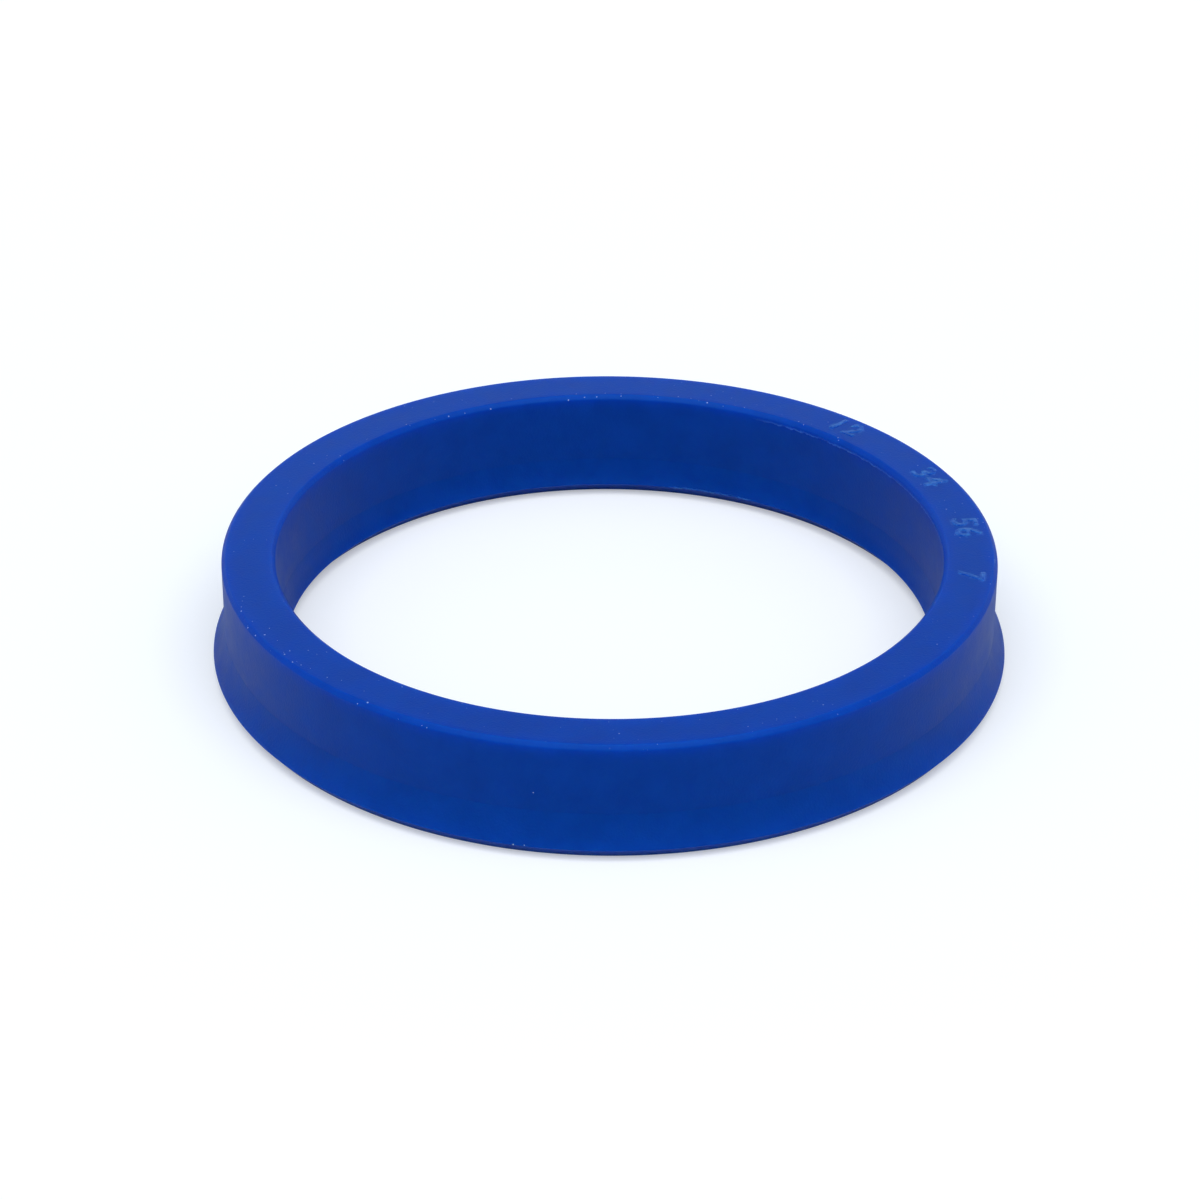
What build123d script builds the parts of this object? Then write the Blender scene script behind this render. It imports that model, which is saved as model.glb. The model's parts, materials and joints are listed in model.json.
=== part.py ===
from build123d import *
from math import radians, tan
import os

# U cup seal: one polyurethane moulding, nominally 45 x 53 x 8 mm.
# It runs on a 45 mm rod, in a housing groove 4 mm deep (53 mm across) and seals both.
# The ring stands on its two lips with the thick heel on top. +Z is the ring's axis, and
# z = 0 is at the lip tips. Every length is in millimetres and every angle in degrees.
# A half section is drawn as (radius, height) corners and spun once round the axis.

# --- the space that the seal fills ---
rod_diameter = 45.0
section_width = 4.0            # from the rod's surface out to the housing groove
seal_height = 8.0

# --- heel: the solid back that keeps the seal square in its groove ---
heel_rod_clearance = 0.25      # radial gap to the rod
heel_housing_clearance = 0.10  # radial gap to the housing groove
rim_chamfer = 0.30             # 45 degree break on both rims of the heel face

# --- outer lip: flares past the housing, so that it is squeezed when fitted ---
outer_squeeze = 0.76           # how far the sealing edge stands past the housing
outer_edge_height = 0.80       # sealing edge above the lip tip
outer_crease_height = 3.00     # where the flare leaves the heel's wall
outer_bevel_angle = 40.0       # from the axis, from the sealing edge down to the tip

# --- inner lip: flares in past the rod's surface ---
inner_squeeze = 0.30
inner_edge_height = 0.92
inner_crease_height = 3.15
inner_bevel_angle = 45.0

# --- the U between the lips: a wedge with a round root ---
u_depth = 4.00
lip_root_thickness = 1.20      # radial wall left on each side of the root
u_root_radius = 0.55
lip_land = 0.25                # flat end of each lip, between its bevel and the U

crease_blend = 0.80            # flex radius where each lip joins the heel

rod_radius = rod_diameter / 2
housing_radius = rod_radius + section_width
heel_inner_radius = rod_radius + heel_rod_clearance
heel_outer_radius = housing_radius - heel_housing_clearance
outer_edge_radius = housing_radius + outer_squeeze
inner_edge_radius = rod_radius - inner_squeeze
outer_tip_radius = outer_edge_radius - outer_edge_height * tan(radians(outer_bevel_angle))
inner_tip_radius = inner_edge_radius + inner_edge_height * tan(radians(inner_bevel_angle))


def outer_lip():
    """Corners up the outer lip: land, bevel, sealing edge, flare and crease."""
    return [
        (outer_tip_radius - lip_land, 0, 0),
        (outer_tip_radius, 0, 0),
        (outer_edge_radius, outer_edge_height, 0),
        (heel_outer_radius, outer_crease_height, crease_blend),
    ]


def heel():
    """Corners over the heel: both chamfered rims and the flat face between them."""
    return [
        (heel_outer_radius, seal_height - rim_chamfer, 0),
        (heel_outer_radius - rim_chamfer, seal_height, 0),
        (heel_inner_radius + rim_chamfer, seal_height, 0),
        (heel_inner_radius, seal_height - rim_chamfer, 0),
    ]


def inner_lip():
    """Corners down the inner lip, the outer lip's counterpart on the rod side."""
    return [
        (heel_inner_radius, inner_crease_height, crease_blend),
        (inner_edge_radius, inner_edge_height, 0),
        (inner_tip_radius, 0, 0),
        (inner_tip_radius + lip_land, 0, 0),
    ]


def u_root():
    """Corners at the bottom of the U, rounded until it is nearly a half circle."""
    inner = heel_inner_radius + lip_root_thickness
    outer = heel_outer_radius - lip_root_thickness
    radius = min(u_root_radius, 0.45 * (outer - inner))
    return [(inner, u_depth, radius), (outer, u_depth, radius)]


def rounded_section(corners):
    """A face from (radius, height, blend) corners; a blend of 0 leaves the corner crisp."""
    outline = Polyline(*[(x, z) for x, z, _ in corners], close=True)
    section = make_face(outline)
    for x, z, blend in corners:
        if blend > 0:
            corner = section.vertices().sort_by_distance((x, z))[0]
            section = fillet(corner, radius=blend)
    return section


section = rounded_section(outer_lip() + heel() + inner_lip() + u_root())
u_cup_seal = revolve(Plane.XZ * section, axis=Axis.Z, revolution_arc=360)

os.makedirs("parts", exist_ok=True)
export_step(u_cup_seal, "parts/u_cup_seal.step")
print(f"u_cup_seal: {u_cup_seal.volume:.0f} mm3, {u_cup_seal.bounding_box().size}")
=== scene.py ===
# %% [markdown]
# # A moulded polyurethane U cup seal
#
# The part is one ring, 53 mm across and 8 mm high. It stands on two thin lips, with the thick
# heel on top. There is nothing to assemble, so the lesson is about three things that make such
# a plain ring look real: a true section with softened corners, the small marks that a mould
# leaves, and a satin blue rubber that light goes a little way into.
#
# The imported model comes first. It fixes the size and place of the ring, and the numbers below
# that describe the ring as a whole are read from it.

import json
from math import cos, pi, radians, sin, tan

import bmesh
import bpy
from mathutils import Matrix, Vector


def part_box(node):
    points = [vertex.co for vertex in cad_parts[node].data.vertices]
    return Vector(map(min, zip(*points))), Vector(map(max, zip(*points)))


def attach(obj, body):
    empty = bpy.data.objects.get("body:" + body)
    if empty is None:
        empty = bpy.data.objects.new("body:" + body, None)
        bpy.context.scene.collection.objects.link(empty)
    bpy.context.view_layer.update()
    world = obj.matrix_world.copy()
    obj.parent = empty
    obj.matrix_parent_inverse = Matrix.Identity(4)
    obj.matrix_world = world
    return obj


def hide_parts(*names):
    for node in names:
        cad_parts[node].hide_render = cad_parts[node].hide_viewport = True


MM = 0.001
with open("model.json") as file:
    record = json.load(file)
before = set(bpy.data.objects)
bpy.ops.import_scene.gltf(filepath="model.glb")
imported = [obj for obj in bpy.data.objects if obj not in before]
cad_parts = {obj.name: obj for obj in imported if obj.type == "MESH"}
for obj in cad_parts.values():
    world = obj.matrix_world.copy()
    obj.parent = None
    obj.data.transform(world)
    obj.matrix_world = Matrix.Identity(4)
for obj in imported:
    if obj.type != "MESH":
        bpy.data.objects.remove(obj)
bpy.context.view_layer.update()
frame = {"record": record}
ring_low, ring_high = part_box("u_cup_seal")
mounts = {m["name"]: m for m in frame["record"]["mounts"]}


def mount_radius(name):
    return mounts[name]["dims"]["r_mm"] * MM


heel_outer = mount_radius("housing_fit")
heel_inner = mount_radius("rod_bore")
outer_edge = ring_high.x
top = ring_high.z
foot = ring_low.z
print("CAD box (m):", ring_low, ring_high)
print("heel from", heel_inner, "to", heel_outer)

# %% [markdown]
# ## The camera
#
# A long lens held a forearm's length away keeps the ellipses of the ring nearly parallel, the
# way a catalogue close-up does. The camera is placed before anything else, because it decides
# which surfaces need the most care. It is built from an elevation, a distance and the point it
# looks at, which are easier to think about than a location and three angles.

# %% Camera
LENS = 110.0                 # millimetres, on the default 36 mm sensor
ELEVATION = radians(29.4)
ROLL = radians(0.23)
DISTANCE = 0.25410
AIM = Vector((-0.00064, 0.00151, 0.00267))


def look_matrix(aim, elevation, roll, distance):
    """A camera matrix that looks along +Y and down at the aim point."""
    forward = Vector((0, cos(elevation), -sin(elevation)))
    side = Vector((1, 0, 0))
    up = side.cross(forward)
    right = side * cos(roll) + up * sin(roll)
    crown = up * cos(roll) - side * sin(roll)
    turned = Matrix((right, crown, -forward)).transposed().to_4x4()
    return Matrix.Translation(aim - forward * distance) @ turned


camera = bpy.data.objects.new("camera", bpy.data.cameras.new("camera"))
camera.data.lens = LENS
camera.data.clip_start = 0.01
camera.matrix_world = look_matrix(AIM, ELEVATION, ROLL, DISTANCE)
bpy.context.scene.collection.objects.link(camera)
bpy.context.scene.camera = camera
print("camera at", camera.matrix_world.translation)

# %% [markdown]
# ## Node helpers
#
# Colours are written as the hex values a paint program shows. Shaders work in linear light, so
# one function converts them. A second function adds a node, sets its values and links it, which
# keeps each material short enough to read.


# %% Helpers for colours and nodes
def colour(hex_value):
    """An sRGB hex string as linear RGBA."""
    channels = [int(hex_value[i:i + 2], 16) / 255 for i in (0, 2, 4)]
    linear = [c / 12.92 if c <= 0.04045 else ((c + 0.055) / 1.055) ** 2.4 for c in channels]
    return (*linear, 1.0)


def add_node(tree, kind, settings=None, inputs=None):
    """Adds a node. An input is a plain value, or an output socket to link from."""
    node = tree.nodes.new(kind)
    for name, value in (settings or {}).items():
        setattr(node, name, value)
    for key, value in (inputs or {}).items():
        if isinstance(value, bpy.types.NodeSocket):
            tree.links.new(value, node.inputs[key])
        else:
            node.inputs[key].default_value = value
    return node


def new_material(name):
    """An empty node material and its tree."""
    material = bpy.data.materials.new(name)
    material.use_nodes = True
    material.node_tree.nodes.clear()
    return material, material.node_tree


# the two sockets of a colour Mix node that take its colours, and the one that gives the result
MIX_FROM, MIX_TO, MIX_RESULT = 6, 7, 2

# %% [markdown]
# ## The table
#
# The seal lies on a sheet of matt white paper. Paper that is lit well enough to look white would
# throw so much light back at the ring that its side walls went pale. So the ring sees a plain
# light grey sheet, and only what the camera sees of it is lifted to white. The lift is added to
# the sheet's own shading and doesn't replace it, so the shadow round the ring stays.

# %% Table
TABLE_SIZE = 3.0
TABLE_LIFT = 0.36
PAPER_TO_THE_RING = "C6C6C6"
PAPER_TO_THE_CAMERA = "DADADA"

table_material, tree = new_material("matt_white_paper")
path = add_node(tree, "ShaderNodeLightPath")
paper = add_node(tree, "ShaderNodeMix", {"data_type": "RGBA"}, {
    "Factor": path.outputs["Is Camera Ray"],
    MIX_FROM: colour(PAPER_TO_THE_RING), MIX_TO: colour(PAPER_TO_THE_CAMERA)})
diffuse = add_node(tree, "ShaderNodeBsdfDiffuse", inputs={"Color": paper.outputs[MIX_RESULT]})
seen = add_node(tree, "ShaderNodeMath", {"operation": "MULTIPLY"},
                {0: path.outputs["Is Camera Ray"], 1: TABLE_LIFT})
glow = add_node(tree, "ShaderNodeEmission", inputs={"Strength": seen.outputs[0]})
both = add_node(tree, "ShaderNodeAddShader", inputs={0: diffuse.outputs[0], 1: glow.outputs[0]})
add_node(tree, "ShaderNodeOutputMaterial", inputs={"Surface": both.outputs[0]})

bm = bmesh.new()
bmesh.ops.create_grid(bm, x_segments=1, y_segments=1, size=TABLE_SIZE / 2)
table_mesh = bpy.data.meshes.new("table")
bm.to_mesh(table_mesh)
bm.free()
table_mesh.materials.append(table_material)
table = bpy.data.objects.new("table", table_mesh)
bpy.context.scene.collection.objects.link(table)
print("table:", TABLE_SIZE, "m square")

# %% [markdown]
# ## The light tent
#
# Small glossy parts are shot in a tent of white cloth. The wall on the camera's side is the
# bright one here: it lights the upright walls evenly and lifts the flares of the lips. The tent
# is dimmer towards the back, because the flat heel mirrors that part at a low angle, and a
# bright wall there would wash its blue out. The backdrop that the camera sees has a strength of
# one, which adds no light to the ring.

# %% World
SKY = "DCEEFF"
FRONT_LIGHT = 0.74
BACK_LIGHT = 0.22
BACK_FROM = 0.8              # how far a direction points back, of 1, where the dim wall begins

world = bpy.data.worlds.new("light_tent")
bpy.context.scene.world = world
world.use_nodes = True
world_tree = world.node_tree
world_tree.nodes.clear()
path = add_node(world_tree, "ShaderNodeLightPath")
around = add_node(world_tree, "ShaderNodeTexCoord")
ways = add_node(world_tree, "ShaderNodeSeparateXYZ", inputs={0: around.outputs["Generated"]})
tent = add_node(world_tree, "ShaderNodeMapRange", {"interpolation_type": "SMOOTHSTEP"},
                {"Value": ways.outputs["Y"], "From Min": 0.0, "From Max": BACK_FROM,
                 "To Min": FRONT_LIGHT, "To Max": BACK_LIGHT})
backdrop = add_node(world_tree, "ShaderNodeMath", {"operation": "MAXIMUM"},
                    {0: path.outputs["Is Camera Ray"], 1: tent.outputs[0]})
sky = add_node(world_tree, "ShaderNodeBackground",
               inputs={"Color": colour(SKY), "Strength": backdrop.outputs[0]})
add_node(world_tree, "ShaderNodeOutputWorld", inputs={"Surface": sky.outputs[0]})
print("tent from", FRONT_LIGHT, "in front to", BACK_LIGHT, "behind")

# %% [markdown]
# ## Two soft panels
#
# A large panel nearly overhead is the key light. It makes the heel face and the rims lighter
# than the walls below them. A low, narrow panel close behind the seal is mirrored only by the
# far side of the heel, and gives that side its pale sheen.


# %% Lamp panels
def soft_panel(name, elevation, azimuth, distance, width, depth, power, tint="FFFFFF"):
    """A rectangular lamp panel that faces the seal from a direction and a distance."""
    lamp = bpy.data.lights.new(name, "AREA")
    lamp.color = colour(tint)[:3]
    lamp.shape = "RECTANGLE"
    lamp.size, lamp.size_y = width, depth
    lamp.energy = power
    panel = bpy.data.objects.new(name, lamp)
    place = Vector((cos(elevation) * cos(azimuth), cos(elevation) * sin(azimuth), sin(elevation)))
    panel.rotation_euler = (-place).to_track_quat("-Z", "Y").to_euler()
    panel.location = place * distance
    bpy.context.scene.collection.objects.link(panel)


soft_panel("overhead_panel", elevation=radians(72), azimuth=radians(270), distance=0.6,
           width=0.80, depth=0.50, power=2.35)
soft_panel("low_back_panel", elevation=radians(22), azimuth=radians(90), distance=0.17,
           width=0.50, depth=0.06, power=0.080, tint="C0E0FF")

# %% [markdown]
# ## The elastomer
#
# The seal is moulded from polyurethane with a blue pigment. The mould is fine-turned steel, so
# the skin is satin: smooth enough for a soft reflection, too rough for a sharp one. Light goes a
# little way into the rubber before it comes back, which is why the rims and the thin lips glow
# and the crease between them doesn't. Subsurface scattering gives that, with a short reach for
# red and a long one for blue.
#
# One flat colour would look like paint, so patterns break it up. Slow clouds change the gloss
# and the shade a little, as the flow of the melt does. A fine grain is the texture of the mould,
# drawn at 0.15 mm so that it just shows. The patterns are placed by azimuth, radius and height,
# so the first nodes work out how far a point lies from the ring's axis.

# %% Colours and coordinates of the polyurethane
PU_BLUE = "00389A"
PU_BLUE_PALE = "013DA2"
PU_FLASH_AND_HIGHLIGHT = "4880C8"          # torn flash, and the painted highlight along the figures' edges
PU_DUST = "B4C4DC"
CLOUD_SIZE = 2.4 * MM
GRAIN_SIZE = 0.15 * MM
TEAR_SIZE = 0.5 * MM

polyurethane, tree = new_material("blue_moulded_polyurethane")
place = add_node(tree, "ShaderNodeTexCoord").outputs["Object"]
height = add_node(tree, "ShaderNodeSeparateXYZ", inputs={0: place}).outputs["Z"]
flat = add_node(tree, "ShaderNodeVectorMath", {"operation": "MULTIPLY"}, {0: place, 1: (1, 1, 0)})
reach = add_node(tree, "ShaderNodeVectorMath", {"operation": "LENGTH"}, {0: flat.outputs[0]})
reach = reach.outputs["Value"]
cloud = add_node(tree, "ShaderNodeTexNoise", inputs={
    "Vector": place, "Scale": 1 / CLOUD_SIZE, "Detail": 4.0, "Roughness": 0.6})
grain = add_node(tree, "ShaderNodeTexNoise", inputs={
    "Vector": place, "Scale": 1 / GRAIN_SIZE, "Detail": 2.0})
tear = add_node(tree, "ShaderNodeTexNoise", inputs={
    "Vector": place, "Scale": 1 / TEAR_SIZE, "Detail": 3.0, "Roughness": 0.7})
print("pattern sizes (mm):", CLOUD_SIZE / MM, GRAIN_SIZE / MM, TEAR_SIZE / MM)

# %% [markdown]
# ## Where on the ring
#
# Marks of use and of moulding aren't spread evenly: they belong to one stretch of one rim or
# edge. A zone is the product of two masks. One is a sector, measured by the cosine between a
# point's direction and the middle of the sector. The other is a band of any measure, such as the
# radius or the height.


# %% Zones
def zone(azimuth, half_width, measure, low, high, fade):
    """1 inside a sector of the ring where a measure lies from low to high, 0 outside."""
    way = (cos(radians(azimuth)), sin(radians(azimuth)), 0)
    along = add_node(tree, "ShaderNodeVectorMath", {"operation": "DOT_PRODUCT"},
                     {0: flat.outputs[0], 1: way})
    share = add_node(tree, "ShaderNodeMath", {"operation": "DIVIDE"},
                     {0: along.outputs["Value"], 1: reach})
    sector = add_node(tree, "ShaderNodeMapRange", {"interpolation_type": "SMOOTHSTEP"}, {
        "Value": share.outputs[0], "From Min": cos(radians(half_width)),
        "From Max": cos(radians(half_width * 0.7))})
    above = add_node(tree, "ShaderNodeMapRange", {"interpolation_type": "SMOOTHSTEP"}, {
        "Value": measure, "From Min": low - fade, "From Max": low})
    below = add_node(tree, "ShaderNodeMapRange", {"interpolation_type": "SMOOTHSTEP"}, {
        "Value": measure, "From Min": high, "From Max": high + fade, "To Min": 1.0, "To Max": 0.0})
    band = add_node(tree, "ShaderNodeMath", {"operation": "MULTIPLY"},
                    {0: above.outputs[0], 1: below.outputs[0]})
    return add_node(tree, "ShaderNodeMath", {"operation": "MULTIPLY"},
                    {0: sector.outputs[0], 1: band.outputs[0]}).outputs[0]


# %% [markdown]
# ## Dust on the heel
#
# Handling leaves pale motes on the flat heel. They gather along the outer rim at the front left
# and along the inner rim at the back, and a few lie anywhere. Each cell of a Voronoi pattern
# holds at most one mote. The cell's random colour decides whether it is there and how large.

# %% Dust
DUST_SPACING = 0.30 * MM
MOTE_SHARE = 0.20            # the largest mote's radius, as a share of the spacing
EMPTY_CELLS = 0.55           # the share of cells that hold no mote
HEEL_SKIN = 0.35 * MM        # dust lies only on what is this near the ring's top

dusty_rim = zone(azimuth=224, half_width=30, measure=reach, fade=0.5 * MM,
                 low=heel_outer - 1.1 * MM, high=heel_outer + MM)
dusty_back = zone(azimuth=95, half_width=60, measure=reach, fade=0.3 * MM,
                  low=heel_inner - MM, high=heel_inner + 0.45 * MM)
dusty = add_node(tree, "ShaderNodeMath", {"operation": "MAXIMUM"}, {0: dusty_rim, 1: dusty_back})
drift = add_node(tree, "ShaderNodeMapRange", inputs={
    "Value": cloud.outputs[0], "From Min": 0.50, "From Max": 0.62, "To Min": 0.0, "To Max": 0.5})
dust_over = add_node(tree, "ShaderNodeMath", {"operation": "MAXIMUM"},
                     {0: dusty.outputs[0], 1: drift.outputs[0]})
on_face = add_node(tree, "ShaderNodeMath", {"operation": "GREATER_THAN"},
                   {0: height, 1: top - HEEL_SKIN})
motes = add_node(tree, "ShaderNodeTexVoronoi", inputs={
    "Vector": place, "Scale": 1 / DUST_SPACING})
mote_chance = add_node(tree, "ShaderNodeSeparateColor", inputs={0: motes.outputs["Color"]})
mote_edge = add_node(tree, "ShaderNodeMapRange", inputs={
    "Value": mote_chance.outputs[0], "From Min": EMPTY_CELLS, "From Max": 1.0,
    "To Min": 0.0, "To Max": MOTE_SHARE})
mote = add_node(tree, "ShaderNodeMath", {"operation": "LESS_THAN"},
                {0: motes.outputs["Distance"], 1: mote_edge.outputs[0]})
mote_there = add_node(tree, "ShaderNodeMath", {"operation": "MULTIPLY"},
                      {0: mote.outputs[0], 1: on_face.outputs[0]})
dust = add_node(tree, "ShaderNodeMath", {"operation": "MULTIPLY"},
                {0: mote_there.outputs[0], 1: dust_over.outputs[0]})
print("largest mote (mm):", MOTE_SHARE * DUST_SPACING / MM)

# %% [markdown]
# ## A torn flash line and single specks
#
# Where the mould's halves part, a film of rubber is left and torn off. Here it is a ragged line
# just below the inner rim on the right, and a few bits on the inner sealing edge. A noise makes
# the line waver and breaks it up. Three tiny white specks on the front of the ring are placed
# one by one, as small balls that the surface cuts through.

# %% Flash and specks
FLASH_WAVER = 0.5 * MM
specks = [  # azimuth in degrees, then radius, height and size in millimetres
    (257.2, 27.2, 0.80, 0.07),
    (258.7, 27.2, 0.84, 0.05),
    (259.6, 26.4, 4.30, 0.04),
]

waver = add_node(tree, "ShaderNodeMath", {"operation": "MULTIPLY_ADD"},
                 {0: tear.outputs[0], 1: FLASH_WAVER, 2: height}).outputs[0]
flash_line = zone(azimuth=32, half_width=32, measure=waver, fade=0.04 * MM,
                  low=top - 0.31 * MM, high=top - 0.25 * MM)
edge_bits = zone(azimuth=70, half_width=9, measure=waver, fade=0.05 * MM,
                 low=foot + 1.14 * MM, high=foot + 1.22 * MM)
inside = add_node(tree, "ShaderNodeMath", {"operation": "LESS_THAN"},
                  {0: reach, 1: heel_inner + 0.2 * MM})
torn = add_node(tree, "ShaderNodeMath", {"operation": "MAXIMUM"}, {0: flash_line, 1: edge_bits})
flash = add_node(tree, "ShaderNodeMath", {"operation": "MULTIPLY"},
                 {0: torn.outputs[0], 1: inside.outputs[0]})

marked = dust.outputs[0]
for azimuth, radius, level, size in specks:
    spot = (radius * MM * cos(radians(azimuth)), radius * MM * sin(radians(azimuth)), level * MM)
    gap = add_node(tree, "ShaderNodeVectorMath", {"operation": "DISTANCE"}, {0: place, 1: spot})
    speck = add_node(tree, "ShaderNodeMath", {"operation": "LESS_THAN"},
                     {0: gap.outputs["Value"], 1: size * MM})
    marked = add_node(tree, "ShaderNodeMath", {"operation": "MAXIMUM"},
                      {0: marked, 1: speck.outputs[0]}).outputs[0]
print("specks:", len(specks))

# %% [markdown]
# ## The skin of the polyurethane
#
# The patterns come together in three colour mixes: the cloudy blue, then the pale blue of torn
# flash and of a painted highlight along the figures' edges, then dust over all. The painted
# highlight comes from a mesh attribute that is written when the figures are joined to the ring.
#
# A deep blue like this lies outside what a screen can show, and a neutral reflection would turn
# it grey, so the specular tint makes the reflection face-on lean towards the pigment. It still
# turns white at a glancing angle, as on any plastic.

# %% Polyurethane colour
shade = add_node(tree, "ShaderNodeMapRange", inputs={
    "Value": cloud.outputs[0], "From Min": 0.35, "From Max": 0.65})
blue = add_node(tree, "ShaderNodeMix", {"data_type": "RGBA"}, {
    "Factor": shade.outputs[0], MIX_FROM: colour(PU_BLUE), MIX_TO: colour(PU_BLUE_PALE)})
# a painted highlight along the sides of the figures, read from the mesh attribute
edge_highlight = add_node(tree, "ShaderNodeAttribute", {"attribute_name": "painted_edge_highlight"})
flash_and_highlight = add_node(tree, "ShaderNodeMath", {"operation": "MAXIMUM"},
                   {0: flash.outputs[0], 1: edge_highlight.outputs["Fac"]})
broken = add_node(tree, "ShaderNodeMapRange", inputs={
    "Value": tear.outputs[0], "From Min": 0.38, "From Max": 0.62, "To Min": 0.05, "To Max": 0.60})
flash_and_highlight_amount = add_node(tree, "ShaderNodeMath", {"operation": "MULTIPLY"},
                 {0: flash_and_highlight.outputs[0], 1: broken.outputs[0]})
flash_and_highlight_blue = add_node(tree, "ShaderNodeMix", {"data_type": "RGBA"}, {
    "Factor": flash_and_highlight_amount.outputs[0], MIX_FROM: blue.outputs[MIX_RESULT], MIX_TO: colour(PU_FLASH_AND_HIGHLIGHT)})
DUST_COVER = 0.7
dusted = add_node(tree, "ShaderNodeMath", {"operation": "MULTIPLY"}, {0: marked, 1: DUST_COVER})
skin = add_node(tree, "ShaderNodeMix", {"data_type": "RGBA"}, {
    "Factor": dusted.outputs[0],
    MIX_FROM: flash_and_highlight_blue.outputs[MIX_RESULT], MIX_TO: colour(PU_DUST)})

# %% Polyurethane gloss, relief and shader
PU_IOR = 1.36
PU_ROUGHNESS = (0.38, 0.47)  # between the glossiest and the dullest cloud
PU_TINT = (0.17, 0.7, 1.0, 1.0)
SCATTER_REACH = (0.3, 0.5, 1.0)
SCATTER_SCALE = 3.5 * MM
CLOUD_RELIEF = 1.2           # against the grain's relief of 1
FLASH_RELIEF = 4.0
SKIN_RELIEF = 0.014 * MM

gloss = add_node(tree, "ShaderNodeMapRange", inputs={
    "Value": cloud.outputs[0], "From Min": 0.3, "From Max": 0.7,
    "To Min": PU_ROUGHNESS[0], "To Max": PU_ROUGHNESS[1]})
relief = add_node(tree, "ShaderNodeMath", {"operation": "MULTIPLY_ADD"},
                  {0: cloud.outputs[0], 1: CLOUD_RELIEF, 2: grain.outputs[0]})
raised = add_node(tree, "ShaderNodeMath", {"operation": "MULTIPLY_ADD"},
                  {0: flash.outputs[0], 1: FLASH_RELIEF, 2: relief.outputs[0]})
bump = add_node(tree, "ShaderNodeBump", inputs={
    "Strength": 0.8, "Distance": SKIN_RELIEF, "Height": raised.outputs[0]})
shader = add_node(tree, "ShaderNodeBsdfPrincipled", inputs={
    "Base Color": skin.outputs[MIX_RESULT], "Roughness": gloss.outputs[0], "IOR": PU_IOR,
    "Specular Tint": PU_TINT, "Normal": bump.outputs[0], "Subsurface Weight": 1.0,
    "Subsurface Radius": SCATTER_REACH, "Subsurface Scale": SCATTER_SCALE})
add_node(tree, "ShaderNodeOutputMaterial", inputs={"Surface": shader.outputs[0]})
print("nodes in the elastomer:", len(tree.nodes))

# %% [markdown]
# ## The section of the ring
#
# A seal like this is turned in the mould: every surface comes from one half section spun round
# the axis. So only the section needs thought. It is a list of corners, each with a radius, a
# height and the radius that rounds it.
#
# The lips don't flare as straight cones. Each leaves its crease at a small tilt and reaches its
# sealing edge at a larger one, so it catches more light the lower it goes. The knee is the point
# where those two tilts meet, and a large corner radius there sweeps the one into the other.

# %% Sizes of the section
outer_edge_height = 0.80 * MM
outer_crease = 3.00 * MM
outer_bevel = radians(40.0)
outer_start, outer_end, outer_sweep = radians(14), radians(27), 5.2 * MM

inner_edge = heel_inner - 0.55 * MM
inner_edge_height = 0.92 * MM
inner_crease = 2.80 * MM
inner_bevel = radians(45.0)
inner_start, inner_end, inner_sweep = radians(12), radians(25), 3.6 * MM

outer_tip = outer_edge - outer_edge_height * tan(outer_bevel)
inner_tip = inner_edge + inner_edge_height * tan(inner_bevel)
land = 0.25 * MM             # flat end of each lip, between its bevel and the U
chamfer = 0.28 * MM
relief_height = 0.05 * MM    # the moulded figures stand this far above the heel face
face = top - relief_height
u_depth = 4.00 * MM
lip_root = 1.20 * MM

# what rounds each kind of corner
ROUND_TIP = 0.08 * MM
ROUND_EDGE = 0.08 * MM
ROUND_RIM = 0.16 * MM
ROUND_OUTER_CREASE = 0.30 * MM
ROUND_INNER_CREASE = 0.35 * MM
ROUND_U = 0.55 * MM


# %% Corners of the section
def knee(crease, edge, start, end):
    """Where two straight runs meet that leave the crease and reach the edge at these tilts."""
    step = edge[0] - crease[0]
    side = 1 if step > 0 else -1
    fall = crease[1] - edge[1]
    upper = (fall * tan(end) - abs(step)) / (tan(end) - tan(start))
    return crease[0] + side * upper * tan(start), crease[1] - upper


outer_knee = knee((heel_outer, outer_crease), (outer_edge, outer_edge_height), outer_start, outer_end)
inner_knee = knee((heel_inner, inner_crease), (inner_edge, inner_edge_height), inner_start, inner_end)

# (radius, height, corner radius) up the outside, over the heel, down the inside and round the U
corners = [
    (outer_tip - land, foot, ROUND_TIP),
    (outer_tip, foot, ROUND_TIP),
    (outer_edge, foot + outer_edge_height, ROUND_EDGE),
    (outer_knee[0], foot + outer_knee[1], outer_sweep),
    (heel_outer, foot + outer_crease, ROUND_OUTER_CREASE),
    (heel_outer, face - chamfer, ROUND_RIM),
    (heel_outer - chamfer, face, ROUND_RIM),
    (heel_inner + chamfer, face, ROUND_RIM),
    (heel_inner, face - chamfer, ROUND_RIM),
    (heel_inner, foot + inner_crease, ROUND_INNER_CREASE),
    (inner_knee[0], foot + inner_knee[1], inner_sweep),
    (inner_edge, foot + inner_edge_height, ROUND_EDGE),
    (inner_tip, foot, ROUND_TIP),
    (inner_tip + land, foot, ROUND_TIP),
    (heel_inner + lip_root, foot + u_depth, ROUND_U),
    (heel_outer - lip_root, foot + u_depth, ROUND_U),
]
print("flare knees:", outer_knee, inner_knee)

# %% [markdown]
# ## The ring
#
# The corners make one flat face, and a vertex bevel rounds each of them. The face itself is then
# deleted, because only its outline is spun. Long edges are divided first, so that the faces of
# the ring are nearly square: the union below and the smooth shading both work better on them.


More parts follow.
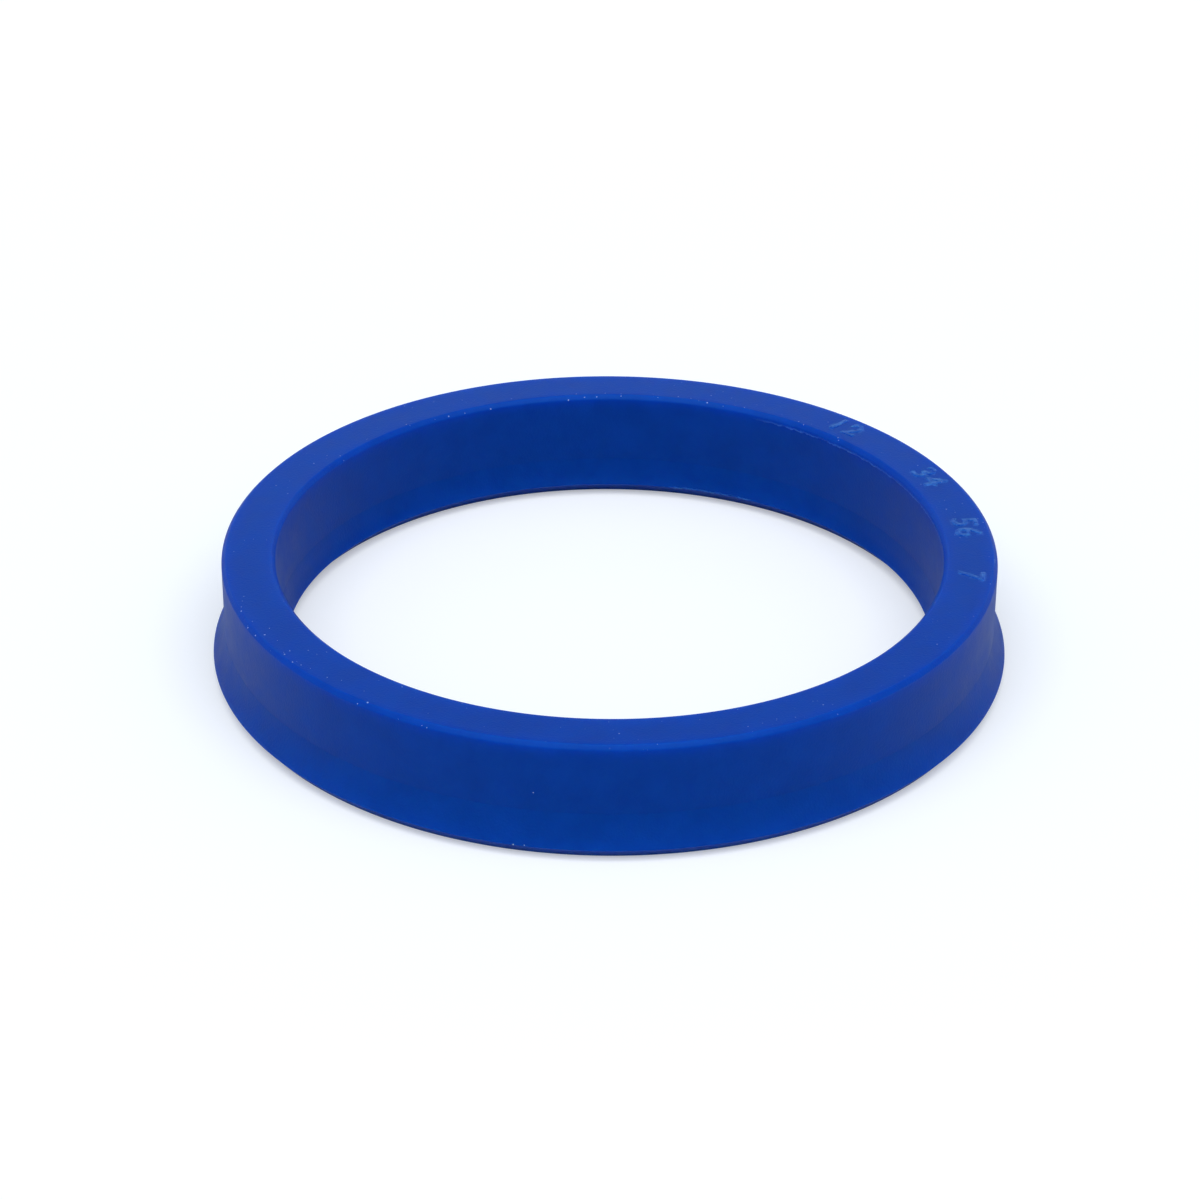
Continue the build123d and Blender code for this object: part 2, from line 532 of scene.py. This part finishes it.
# %% Spin the section into a ring
def round_corner(bm, point, radius, segments):
    """Rounds the corner of a flat face that lies at the point to the given radius."""
    corner = min(bm.verts, key=lambda v: (v.co - point).length)
    one, two = [(e.other_vert(corner).co - corner.co).normalized() for e in corner.link_edges]
    half_turn = (pi - one.angle(two)) / 2
    bmesh.ops.bevel(bm, geom=[corner], offset=radius * tan(half_turn), offset_type="OFFSET",
                    segments=segments, profile=0.5, affect="VERTICES", material=-1)


STEPS_ROUND = 480
CORNER_SEGMENTS = 5
LONGEST_EDGE = 0.30 * MM

bm = bmesh.new()
points = [Vector((r, 0, z)) for r, z, _ in corners]
bm.faces.new([bm.verts.new(p) for p in points])
for point, (_, _, radius) in zip(points, corners):
    round_corner(bm, point, radius, CORNER_SEGMENTS)
bmesh.ops.delete(bm, geom=bm.faces[:], context="FACES_ONLY")
for edge in [e for e in bm.edges if e.calc_length() > LONGEST_EDGE]:
    bmesh.ops.subdivide_edges(bm, edges=[edge], cuts=int(edge.calc_length() / LONGEST_EDGE))
print("points in the section:", len(bm.verts))
bmesh.ops.spin(bm, geom=bm.verts[:] + bm.edges[:], cent=(0, 0, 0), axis=(0, 0, 1), dvec=(0, 0, 0),
               angle=2 * pi, steps=STEPS_ROUND, use_merge=True, use_duplicate=False)
bmesh.ops.recalc_face_normals(bm, faces=bm.faces[:])
ring_mesh = bpy.data.meshes.new("seal_ring")
bm.to_mesh(ring_mesh)
print("faces in the ring:", len(bm.faces), "volume mm3:", bm.calc_volume(signed=True) / MM ** 3)
bm.free()
ring_mesh.materials.append(polyurethane)
ring = bpy.data.objects.new("seal_ring", ring_mesh)
bpy.context.scene.collection.objects.link(ring)

# %% [markdown]
# ## The moulded figures
#
# Such seals carry small raised figures on the heel, cut into the mould. Here they are plain
# numbers that name nothing. A mark of this kind could be bump in the material, but real geometry
# catches the light along its edges from every side. Each number is text with a thin extrusion
# and a rounded edge, made a mesh, and then turned to its place on the heel.

# %% Raised figures on the heel
FIGURE_HEIGHT = 1.75 * MM
FIGURE_RADIUS = 24.6 * MM    # from the ring's axis to the middle of a figure
FIGURE_ROUND = 0.025 * MM
FIGURE_DEPTH = 0.15 * MM     # most of it is sunk in the heel
CAPITAL_SHARE = 0.7          # a digit's height as a share of the font's size
figures = [(46, "12"), (24, "34"), (6, "56"), (350, "7")]


def raised_figure(bm, azimuth, digits):
    """Adds one number to the mesh, with its top outwards and its face at the ring's top."""
    text = bpy.data.curves.new("figure_text", "FONT")
    text.body = digits
    text.align_x, text.align_y = "CENTER", "CENTER"
    text.size = FIGURE_HEIGHT / CAPITAL_SHARE
    text.space_character = 1.15
    text.extrude = FIGURE_DEPTH / 2 - FIGURE_ROUND
    text.bevel_depth = FIGURE_ROUND
    text.bevel_resolution = 2
    text.resolution_u = 6
    holder = bpy.data.objects.new("figure_text", text)
    bpy.context.scene.collection.objects.link(holder)
    bpy.context.view_layer.update()
    mesh = bpy.data.meshes.new_from_object(holder)
    turn = Matrix.Rotation(radians(azimuth - 90), 4, "Z")
    out = Matrix.Translation((0, FIGURE_RADIUS, top - FIGURE_DEPTH / 2))
    mesh.transform(turn @ out)
    bm.from_mesh(mesh)
    bpy.data.objects.remove(holder)
    bpy.data.curves.remove(text)
    bpy.data.meshes.remove(mesh)


bm = bmesh.new()
for azimuth, digits in figures:
    raised_figure(bm, azimuth, digits)
bmesh.ops.remove_doubles(bm, verts=bm.verts[:], dist=0.001 * MM)
bmesh.ops.recalc_face_normals(bm, faces=bm.faces[:])
print("figure faces:", len(bm.faces), "open edges:", sum(not e.is_manifold for e in bm.edges))
figure_mesh = bpy.data.meshes.new("figures")
bm.to_mesh(figure_mesh)
bm.free()
figure_mesh.materials.append(polyurethane)
figure_body = bpy.data.objects.new("figures", figure_mesh)
bpy.context.scene.collection.objects.link(figure_body)

# %% [markdown]
# ## One closed body
#
# The figures are joined to the ring with a union. Two bodies that only overlap would look wrong
# here, because scattered light would leave through the hidden floor of each figure. The union
# keeps the ring one closed body, as the moulding is.

# %% Join the figures to the ring
union = ring.modifiers.new("join_figures", "BOOLEAN")
union.operation = "UNION"
union.solver = "MANIFOLD"
union.object = figure_body
bpy.context.view_layer.update()
joined = bpy.data.meshes.new_from_object(ring.evaluated_get(bpy.context.evaluated_depsgraph_get()))
ring.modifiers.clear()
ring.data = joined
bpy.data.objects.remove(figure_body)

# %% [markdown]
# ## Smooth faces and a painted highlight on the figures' edges
#
# All faces are shaded smooth, apart from the few sharp edges at the foot of the figures. The sides of
# the figures are marked in an attribute for a painted highlight that makes them pale. The material
# fades it out over the next small face, which gives a soft, broken outline.

# %% Shade and mark the joined ring
SHARP_FROM = radians(35)
LEVEL_ENOUGH = 0.97          # a face whose normal rises more than this is a top, not a side

bm = bmesh.new()
bm.from_mesh(joined)
for f in bm.faces:
    f.smooth = True
for edge in bm.edges:
    edge.smooth = len(edge.link_faces) == 2 and edge.calc_face_angle() < SHARP_FROM
# the sides of the figures are marked here for the painted highlight
painted_edge_highlight = bm.verts.layers.float.new("painted_edge_highlight")
for f in bm.faces:
    middle = f.calc_center_median()
    on_heel = heel_inner + 2 * chamfer < middle.to_2d().length < heel_outer - 2 * chamfer
    if on_heel and middle.z > face - FIGURE_ROUND and abs(f.normal.z) < LEVEL_ENOUGH:
        for v in f.verts:
            v[painted_edge_highlight] = 1.0
print("joined faces:", len(bm.faces), "open edges:", sum(not e.is_manifold for e in bm.edges))
print("points on worn edges:", sum(v[painted_edge_highlight] > 0 for v in bm.verts))
bm.to_mesh(joined)
bm.free()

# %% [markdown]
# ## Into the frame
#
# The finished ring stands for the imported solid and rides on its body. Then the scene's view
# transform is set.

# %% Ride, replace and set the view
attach(ring, "root")
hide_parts("u_cup_seal")

bpy.context.scene.view_settings.view_transform = "Standard"
